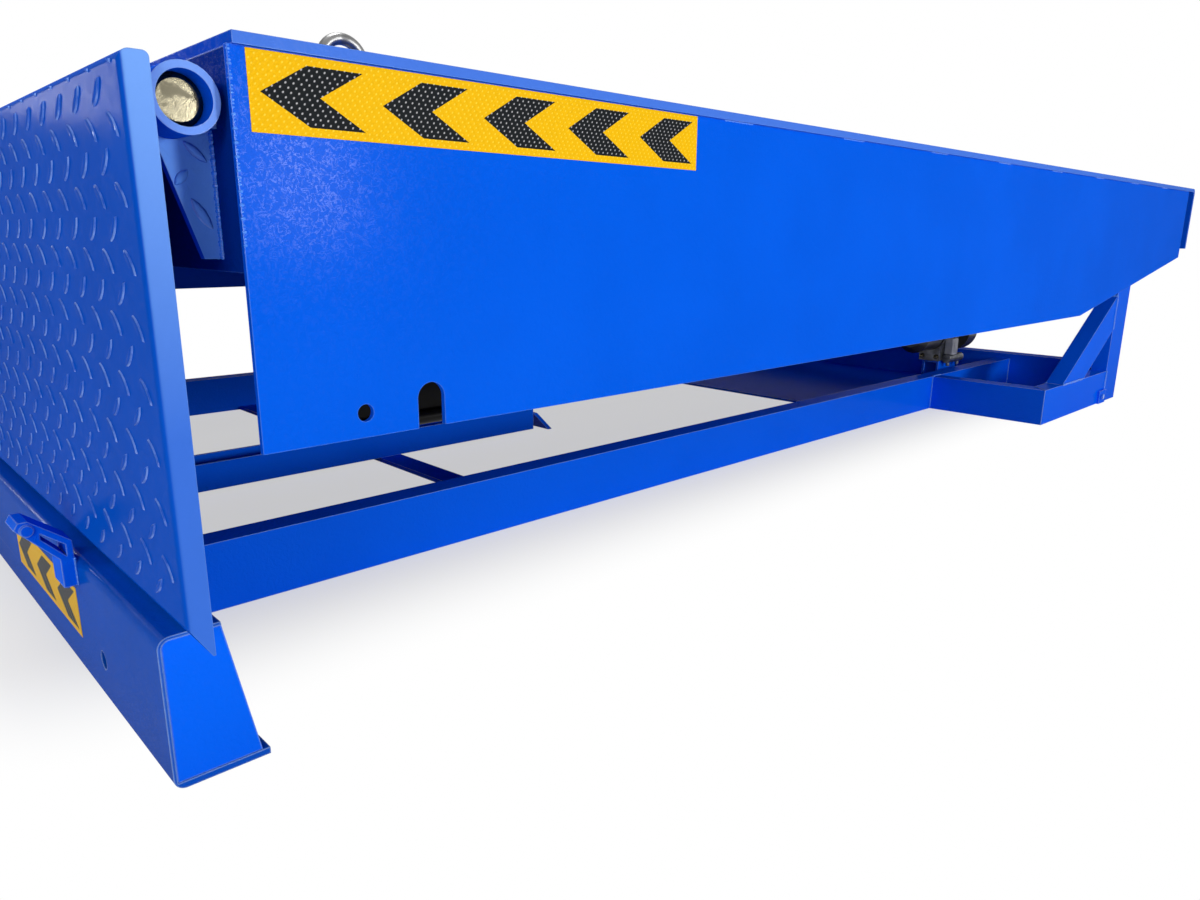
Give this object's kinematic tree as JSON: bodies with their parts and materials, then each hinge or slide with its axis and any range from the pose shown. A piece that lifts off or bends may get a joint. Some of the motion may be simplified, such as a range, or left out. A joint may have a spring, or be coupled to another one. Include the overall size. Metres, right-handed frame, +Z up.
{
  "type": "dock leveler",
  "caption": "Hydraulic dock leveler: a ramp deck with side skirts, hinged at the rear of a welded floor frame, with a hinged lip plate hanging at its front edge.",
  "frame": {"origin": "on the floor, below the middle of the whole object", "axes": "+X to the right side seen from the front, +Y to the rear hinge, +Z up"},
  "size_m": [2, 2.619, 0.6223],
  "materials": {
    "blue_paint": "glossy blue enamel with orange peel",
    "zinc_steel": "zinc plated, passivated",
    "cast_block": "as machined",
    "black_enamel": "semi-gloss black enamel",
    "coil_resin": "moulded grey resin",
    "hazard_film": "yellow and black retroreflective film"
  },
  "bodies": {
    "base": {"front_beam": "blue_paint", "front_beam_end_r": "blue_paint", "front_beam_end_l": "blue_paint", "lip_keeper_r": "blue_paint", "lip_keeper_l": "blue_paint", "side_rail_r": "blue_paint", "side_rail_l": "blue_paint", "outrigger_front_r": "blue_paint", "outrigger_front_l": "blue_paint", "outrigger_side_r": "blue_paint", "outrigger_side_l": "blue_paint", "rear_post_r": "blue_paint", "rear_post_l": "blue_paint", "post_brace_r": "blue_paint", "post_brace_l": "blue_paint", "post_foot_tabs": "blue_paint", "rear_cross_beam": "blue_paint", "rear_hinge_beam": "blue_paint", "rear_hinge_ears": "blue_paint", "rear_hinge_pins": "zinc_steel", "maintenance_prop": "blue_paint", "prop_foot": "blue_paint", "prop_pivot_lugs": "blue_paint", "prop_pivot_pin": "zinc_steel", "prop_rest_bar": "blue_paint", "pump_floor_plate": "blue_paint", "pump_bracket": "blue_paint", "pump_valve_block": "cast_block", "pump_motor": "black_enamel", "pump_tank": "black_enamel", "solenoid_coil": "coil_resin"},
    "deck": {"deck_plate": "blue_paint", "rear_apron": "blue_paint", "side_skirt_r": "blue_paint", "side_skirt_l": "blue_paint", "front_header": "blue_paint", "deck_stringers": "blue_paint", "deck_rear_bar": "blue_paint", "deck_hinge_lugs": "blue_paint", "deck_knuckles": "blue_paint", "hinge_gussets": "blue_paint", "hinge_pin": "zinc_steel", "lifting_eyes": "zinc_steel", "side_guards": "black_enamel"},
    "lip": {"lip_plate": "blue_paint", "lip_knuckles": "blue_paint"}
  },
  "joints": [
    {"name": "deck_hinge", "type": "hinge", "parent": "base", "child": "deck", "pos_m": [0, 1.2405, 0.521], "axis": [-1, 0, 0], "range_deg": [0, 9]},
    {"name": "lip_hinge", "type": "hinge", "parent": "deck", "child": "lip", "pos_m": [0, -1.2185, 0.524], "axis": [-1, 0, 0], "range_deg": [0, 90]}
  ]
}
